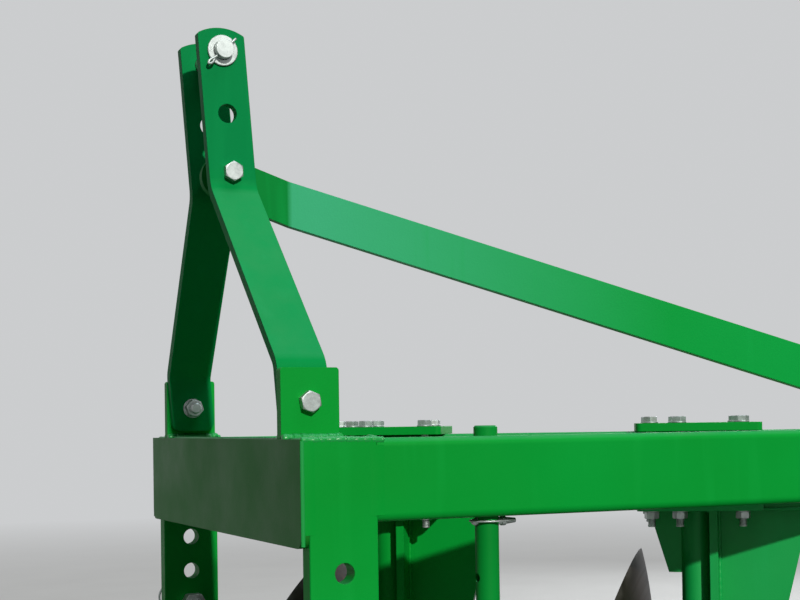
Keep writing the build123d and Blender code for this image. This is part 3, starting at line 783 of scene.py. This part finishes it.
# Top link pin: washer on the near side, split pin through its end, bent handle on the far side
top_pin_place = place(mast_centre(top_pin_above), bar_face, top_pin_above)
top_washer = set_down(washer("top_pin_washer", 21 * mm, 3.5 * mm, 13 * mm), top_pin_place, to_left)
fit_up(top_washer, "top_pin_washer", zinc, "frame")
split_through = Vector((0.72, 0, -0.69))
split_place = top_pin_place + to_left * (8.5 * mm)
split_side = split_through.cross(to_left)
split_points = [
    split_place + split_through * (along * mm) + split_side * (aside * mm) + to_left * (out * mm)
    for along, aside, out in (
        (-21, 0, 0.3), (10, 0, 0), (18, 0, 0), (25, 3.4, 0), (32, 0, 0),
        (25, -3.4, 0), (18, 0, -1.5), (10, 0, -1.5), (-21, 0, -1.5), (-24, 0, -2.5),
    )
]
split_pin = bent_wire("top_split_pin", split_points, 3.4 * mm)
fit_up(split_pin, "top_split_pin", zinc, "frame")
far_side = place(mast_centre(top_pin_above), frame_width - bar_face, top_pin_above)
handle_foot = far_side + to_right * (8 * mm)
handle_points = [
    handle_foot + to_right * (out * mm) + down * (drop * mm)
    for out, drop in ((-3, 0), (10, 0), (17, 2), (20, 12), (20, 45), (20, 72))
]
handle = bent_wire("top_pin_handle", handle_points, 11 * mm)
fit_up(handle, "top_pin_handle", zinc, "frame")

# Stand's cross pin under the left beam, with its wire ring round the bar
stand_place = place(stand_back, beam_width / 2, stand_hole_above)
cross_pin_outline = [
    (0, 21), (2.5, 21), (5, 17), (5, -19), (6.2, -20), (6.2, -25), (4.5, -27), (3, -40), (0, -40),
]
cross_pin = set_down(turned("cross_pin_rod", in_metres(cross_pin_outline), 20), stand_place, to_front)
loop_middle = stand_place + to_rear * (7 * mm)
loop_points = []
loop_steps = 14
for index in range(loop_steps):
    angle = 2 * pi * index / loop_steps
    spot = loop_middle + to_rear * (30 * mm * cos(angle)) + to_left * (21 * mm * sin(angle))
    loop_points.append(spot + up * mm)
loop = bent_wire("cross_pin_ring", loop_points, 2.6 * mm, cyclic=True)
fit_up(joined([cross_pin, loop], "stand_cross_pin"), "stand_cross_pin", zinc, "frame")

# Tail sleeve: two set bolts with lock nuts
sleeve_centre = post_place(disc_count) + beam_along * (tail_along * mm)
set_bolt_shank = [(0, 2 * mm), (8 * mm, 2 * mm), (8 * mm, -3 * mm)]
set_bolt_shank += threaded_outline(16 * mm, -3 * mm, -30 * mm, 2 * mm)
set_bolt_gap = 20
set_bolt_offset = 42
set_bolt = joined(
    [
        hexagon("set_bolt_head", 24 * mm, 10 * mm, 1),
        set_down(hexagon("lock_nut", 24 * mm, 8 * mm, 2), down * (set_bolt_gap * mm), up, radians(12)),
        turned("set_bolt_shank", set_bolt_shank, 20),
    ],
    "set_bolt",
)
set_spots = []
for offset in (set_bolt_offset, -set_bolt_offset):
    above = -sleeve_height / 2 + sleeve_above + offset
    seat = sleeve_centre + up * (above * mm) + to_rear * ((sleeve_diameter / 2 + set_bolt_gap) * mm)
    set_spots.append((seat, to_rear, radians(above)))
place_bolts(set_bolt, set_spots, "sleeve_set_bolts", zinc, "frame")
discard(set_bolt)

# Furrow wheel: a seal ring at each end of its hub
wheel_centre_above = wheel_radius * cos(wheel_lean) + wheel_flange / 2 * sin(wheel_lean) - beam_top
stem_back = first_post_back + (disc_count - 1) * post_pitch_back + tail_along * cos(beam_slope)
stem_right = first_post_right - (disc_count - 1) * post_pitch_right - tail_along * sin(beam_slope)
wheel_centre = place(stem_back + wheel_trail, stem_right + wheel_side, wheel_centre_above)
seal_inset = 12
seal_outline = [(44, 0), (50, 0), (52, 2), (52, 9), (50, 11), (44, 11), (44, 0)]
for side_name, sign in (("left", 1), ("right", -1)):
    seal_place = wheel_centre + wheel_axle * (sign * (wheel_hub_length / 2 - seal_inset) * mm)
    seal = set_down(turned("hub_ring", in_metres(seal_outline), 40), seal_place, wheel_axle * sign)
    fit_up(seal, f"wheel_hub_ring_{side_name}", wheel_enamel, "tail_wheel")


# Weld beads


def bead(start, end, radius):
    """A weld bead from one point to another, with the ripples of its passes."""
    run = end - start
    usual_pitch = 3.4 * mm
    count = max(3, round(run.length / usual_pitch))
    pitch = run.length / count
    outline = [(0, 0), (radius * 0.55, 0.0)]
    for index in range(count):
        swell = radius * (1 + 0.07 * sin(index * 1.9) + 0.05 * sin(index * 0.37 + radius * 900))
        outline.append((swell, pitch * (index + 0.45)))
        outline.append((swell * 0.88, pitch * (index + 1.0)))
    outline[-1] = (radius * 0.5, run.length)
    outline.append((0, run.length))
    return set_down(turned("bead", outline, 9), start, run.normalized())


def welds(name, runs, radius, material=weld_enamel):
    """Several weld beads as one piece, with their radius in millimetres."""
    beads = [bead(start, end, radius * mm) for start, end in runs]
    fit_up(joined(beads, name), name, material, "frame", smooth=60)


def ground_seam(name, start, end, outward, width, height, material=seam_enamel):
    """A weld ground nearly flush over a seam from one point to another.

    It is a flat lens in section, with its width and height in millimetres.
    """
    run = end - start
    across = run.normalized().cross(outward).normalized()
    steps = 12
    outline = []
    for index in range(steps + 1):
        share = index / steps * 2 - 1
        rise = height * mm * (1 - share * share)
        outline.append(start + across * (share * width / 2 * mm) + outward * rise)
    outline.append(start + across * (width * 0.3 * mm) - outward * mm)
    outline.append(start - across * (width * 0.3 * mm) - outward * mm)
    piece = traced(name, outline + outline[:1])
    bpy.ops.mesh.remove_doubles(threshold=merge_distance * mm)
    bpy.ops.mesh.edge_face_add()
    bpy.ops.mesh.extrude_region_move(TRANSFORM_OT_translate={"value": run})
    close_editing()
    fit_up(piece, name, material, "frame", smooth=60)


# The headstock's side seams are ground nearly flush, its top seams are left rough
leg_rear = plate_thickness + leg_width
for side_name, face_right, outward in sides:
    seam_top = place(plate_thickness, face_right, -1.5)
    seam_foot = place(plate_thickness, face_right, -plate_height + 16)
    ground_seam(f"plate_seam_{side_name}", seam_top, seam_foot, outward, 15, 0.35)
    corner_top = place(2.7, face_right, -2)
    corner_foot = place(2.7, face_right, -plate_height + 3)
    ground_seam(f"corner_seam_{side_name}", corner_top, corner_foot, outward, 5, 1.2, weld_enamel)
seam_top = place(leg_rear, 0, -8)
seam_foot = place(leg_rear, 0, -beam_height + 8)
ground_seam("beam_seam_left", seam_top, seam_foot, to_left, 18, 0.35)
welds("headstock_top_welds", [
    (place(plate_thickness, 4, -0.4), place(plate_thickness, frame_width - 4, -0.4)),
    (place(14, leg_thickness, 0.3), place(80, leg_thickness, 0.3)),
    (place(14, frame_width - leg_thickness, 0.3), place(80, frame_width - leg_thickness, 0.3)),
], 2.4)
welds("leg_top_welds", [
    (place(1, 3.5, -1.2), place(26, 3.6, -1.6)),
    (place(22, 3.8, -1.4), place(61, 3.4, -1.0)),
    (place(57, 3.2, -1.5), place(108, 4.4, -2.4)),
    (place(leg_rear, 3, -1.5), place(leg_rear, 26, 0.3)),
], 4.6)
left_corner = (leg_thickness + 1, -beam_height - 1)
right_corner = (frame_width - leg_thickness - 1, -beam_height - 1)
welds("leg_to_beam_welds", [
    (place(12, *left_corner), place(80, *left_corner)),
    (place(12, *right_corner), place(80, *right_corner)),
], 2.6)
lug_welds = []
for right_low in (lug_right, frame_width - lug_right - lug_thickness):
    for right in (right_low - 1, right_low + lug_thickness + 1):
        lug_welds.append((place(lug_front, right, 0.6), place(lug_front + lug_width, right, 0.6)))
    lug_welds.append((place(lug_front + lug_width + 1, right_low, 0.6),
                      place(lug_front + lug_width + 1, right_low + lug_thickness, 0.6)))
welds("mast_lug_welds", lug_welds, 6.2)

# Where the left beam meets the main beam's side
side_offset = beam_width / 2 / cos(beam_slope)
slope_rate = post_pitch_back / post_pitch_right


def meeting_back(right):
    """Where the main beam's left side crosses a line at a distance from the left beam's outer face."""
    return first_post_back + (first_post_right - side_offset - right) * slope_rate


# Heights of the welds on top of the beams and under them
beam_faces = (0.5, -beam_height - 0.5)
joint_welds = []
for above in beam_faces:
    outer_end = place(meeting_back(6), 6, above)
    inner_end = place(meeting_back(beam_width - 6), beam_width - 6, above)
    joint_welds.append((outer_end, inner_end))
joint_welds.append((place(meeting_back(-1), -1, -9), place(meeting_back(-1), -1, -91)))
welds("beam_joint_welds", joint_welds, 3.2)

# Where the main beam meets the cross tube
tube_weld_back = tube_rear + 1
right_low = first_post_right + (first_post_back - tube_rear) / slope_rate - side_offset
main_welds = []
for above in beam_faces:
    left_end = place(tube_weld_back, right_low + 8, above)
    right_end = place(tube_weld_back, frame_width - 22, above)
    main_welds.append((left_end, right_end))
main_welds.append((place(tube_weld_back, right_low - 1, -10), place(tube_weld_back, right_low - 1, -90)))
welds("main_beam_front_welds", main_welds, 3.2)

# Brace lug on the main beam
lug_along = Vector((-cos(brace_turn), sin(brace_turn), 0))
lug_middle = place(brace_rear_back, brace_rear_right, 1.4)
lug_weld_reach = 40
lug_end = 43
brace_lug_welds = []
for offset in (brace_thickness / 2 - 1, brace_thickness / 2 + brace_lug_thickness + 1):
    base = lug_middle + brace_aside * (offset * mm)
    reach = lug_along * (lug_weld_reach * mm)
    brace_lug_welds.append((base - reach, base + reach))
for sign in (-1, 1):
    base = lug_middle + lug_along * (sign * lug_end * mm)
    brace_lug_welds.append((base + brace_aside * (brace_thickness / 2 * mm),
                            base + brace_aside * ((brace_thickness / 2 + brace_lug_thickness) * mm)))
welds("brace_lug_welds", brace_lug_welds, 3.4)


def upright_bar(name, start, end, width, height, material):
    """A flat bar on edge from one point to another, with its edges broken."""
    deselect()
    bpy.ops.mesh.primitive_cube_add(size=1, scale=(width, height, (end - start).length))
    piece = bpy.context.object
    bpy.ops.object.transform_apply(location=True, rotation=True, scale=True)
    bpy.ops.object.mode_set(mode="EDIT")
    bpy.ops.mesh.select_all(action="SELECT")
    bpy.ops.mesh.bevel(offset=0.9 * mm, segments=2, affect="EDGES")
    bpy.ops.object.mode_set(mode="OBJECT")
    set_down(piece, (start + end) / 2, (end - start).normalized())
    fit_up(piece, name, material, "frame")


# Disc standards: web, strip and post under the flange, and down the web
flange_foot = -beam_height - flange_thickness
flange_rim = 93.5
strip_back = post_diameter / 2 - 2
web_front = strip_back + strip_thickness
web_weld_foot = -540
ring_radius = post_diameter / 2 + 0.8
half_ring = radians(112)
ring_steps = 15
for number in disc_numbers:
    root = post_place(number, flange_foot - 1.5)
    web_foot = post_place(number, web_weld_foot)
    strip_face = root - axle_level * ((strip_back - 1) * mm)
    runs = []
    for sign in (-1, 1):
        side = axle_side * (sign * (web_thickness / 2 + 1.2) * mm)
        runs.append((root - axle_level * (web_front * mm) + side,
                     root - axle_level * ((web_top - 3) * mm) + side))
        runs.append((strip_face + axle_side * (sign * post_diameter / 2 * mm),
                     strip_face + axle_side * (sign * strip_width / 2 * mm)))
        runs.append((root - axle_level * ((web_front + 1) * mm) + side,
                     web_foot - axle_level * ((web_front + 1) * mm) + side))
    ring = []
    for index in range(ring_steps + 1):
        angle = -half_ring + 2 * half_ring * index / ring_steps
        ring.append(root + (axle_level * cos(angle) + axle_side * sin(angle)) * (ring_radius * mm))
    runs += zip(ring, ring[1:])
    welds(f"standard_welds_{number}", runs, 3.2, seam_enamel if number == 1 else rear_seam_enamel)

    # Past the flange's rim the web stands up to the beam
    web_rim = post_place(number, flange_foot + flange_thickness / 2 - 1)
    upright_bar(
        f"web_top_{number}",
        web_rim - axle_level * (flange_rim * mm),
        web_rim - axle_level * ((web_top - 1) * mm),
        (web_thickness - 0.5) * mm,
        (flange_thickness - 1) * mm,
        finish_of[f"disc_standard_{number}"],
    )

# Main beam's end: the sleeve's cheeks on its cap, and the cap's upright edges
cap_along = 159
cheek_weld_end = 172
cheek_aside = 24
sleeve_runs = []
for side in (-1, 1):
    for above in (-6, -94):
        spot = post_place(disc_count, above) + beam_across * (side * cheek_aside * mm)
        sleeve_runs.append((spot + beam_along * (cap_along * mm),
                            spot + beam_along * (cheek_weld_end * mm)))
    aside = beam_across * (side * (beam_width / 2 + 0.5) * mm)
    spot = post_place(disc_count) + beam_along * ((cap_along + 0.5) * mm) + aside
    sleeve_runs.append((spot + down * (8 * mm), spot + down * (92 * mm)))
welds("tail_sleeve_welds", sleeve_runs, 3.0)


# Floor, light and camera


def seen_directly(tree):
    """1 for rays from the camera, off shiny surfaces and through clear ones, else 0."""
    rays = tree.nodes.new("ShaderNodeLightPath")
    indirect = combine(tree, "MAXIMUM", rays.outputs["Is Glossy Ray"], rays.outputs["Is Transmission Ray"])
    return combine(tree, "MAXIMUM", rays.outputs["Is Camera Ray"], indirect)


def mix_shaders(tree, amount, first, second):
    """One shader over another."""
    switch = tree.nodes.new("ShaderNodeMixShader")
    tree.links.new(amount, switch.inputs["Fac"])
    tree.links.new(first, switch.inputs[1])
    tree.links.new(second, switch.inputs[2])
    return switch.outputs["Shader"]


backdrop_colour = (0.60, 0.61, 0.62, 1)
deselect()
bpy.ops.mesh.primitive_plane_add(size=60, location=(0, 0, 0))
floor = bpy.context.object
floor.name = "floor"
floor_material, floor_tree, floor_shader, floor_spot = new_material("pale_floor")
grain = ramp(floor_tree, noise(floor_tree, floor_spot, 2.5, 5.0), 0.3, 0.7)
pale = blend_colours(floor_tree, grain, (0.60, 0.59, 0.57), (0.64, 0.63, 0.61))
directly = seen_directly(floor_tree)
floor_coat = blend_colours(floor_tree, directly, (0.16, 0.16, 0.15), pale)
floor_tree.links.new(floor_coat, floor_shader.inputs["Base Color"])
floor_shader.inputs["Roughness"].default_value = 0.9
floor_shader.inputs["Specular IOR Level"].default_value = 0.2
distance = vector_step(floor_tree, "LENGTH", floor_spot)
far_off = combine(floor_tree, "MULTIPLY", ramp(floor_tree, distance, 3.0, 11.0), directly)
haze = floor_tree.nodes.new("ShaderNodeEmission")
haze.inputs["Color"].default_value = backdrop_colour
surface = mix_shaders(floor_tree, far_off, floor_shader.outputs["BSDF"], haze.outputs["Emission"])
floor_tree.links.new(surface, floor_tree.nodes["Material Output"].inputs["Surface"])
floor.data.materials.append(floor_material)

world = bpy.data.worlds.new("studio")
bpy.context.scene.world = world
world.use_nodes = True
sky = world.node_tree
backdrop = sky.nodes["Background"]
backdrop.inputs["Color"].default_value = backdrop_colour
fill = sky.nodes.new("ShaderNodeBackground")
fill.inputs["Color"].default_value = (0.80, 0.92, 1.0, 1)
fill.inputs["Strength"].default_value = 0.09
surroundings = mix_shaders(
    sky, seen_directly(sky), fill.outputs["Background"], backdrop.outputs["Background"]
)
sky.links.new(surroundings, sky.nodes["World Output"].inputs["Surface"])


def hang(lamp_data, spot, aim):
    """Hang a lamp at a spot, with its light going against the aim."""
    lamp = bpy.data.objects.new(lamp_data.name, lamp_data)
    lamp.matrix_world = pointing(spot, aim)
    bpy.context.scene.collection.objects.link(lamp)


sun_data = bpy.data.lights.new("key_sun", "SUN")
sun_data.energy = 2.65
sun_data.angle = radians(1.6)
sun_data.color = (1.0, 0.985, 0.95)
hang(sun_data, Vector((0, 0, 0)), Vector((0.03, 1.0, 0.50)))

# Name, place, target, size in metres, power in watts and colour of each lamp
softboxes = (
    ("overhead_softbox", (-0.2, 0.6, 4.2), (-0.2, 0.6, 0.0), 2.4, 55, (0.72, 0.88, 1.0)),
    ("rear_softbox", (-3.4, -3.6, 2.6), (-0.2, 0.0, 0.6), 2.6, 90, (0.92, 0.96, 1.0)),
)
for name, spot, target, size, power, colour in softboxes:
    lamp_data = bpy.data.lights.new(name, "AREA")
    lamp_data.size = size
    lamp_data.energy = power
    lamp_data.color = colour
    hang(lamp_data, Vector(spot), Vector(spot) - Vector(target))

# The camera was fitted to the photo, with its turns about X, Y and Z in degrees
camera_place = place(-568.9, -1560.8, 16.4)
camera_turns = (90.914, 0.840, 155.951)
camera_data = bpy.data.cameras.new("camera")
camera_data.lens = 64.25
camera_data.sensor_width = 36.0
camera_data.shift_y = 0.1264
camera_data.clip_end = 200
camera = bpy.data.objects.new("camera", camera_data)
camera.location = camera_place
camera.rotation_euler = [radians(turn) for turn in camera_turns]
bpy.context.scene.collection.objects.link(camera)
bpy.context.scene.camera = camera

bpy.context.scene.view_settings.view_transform = "Standard"
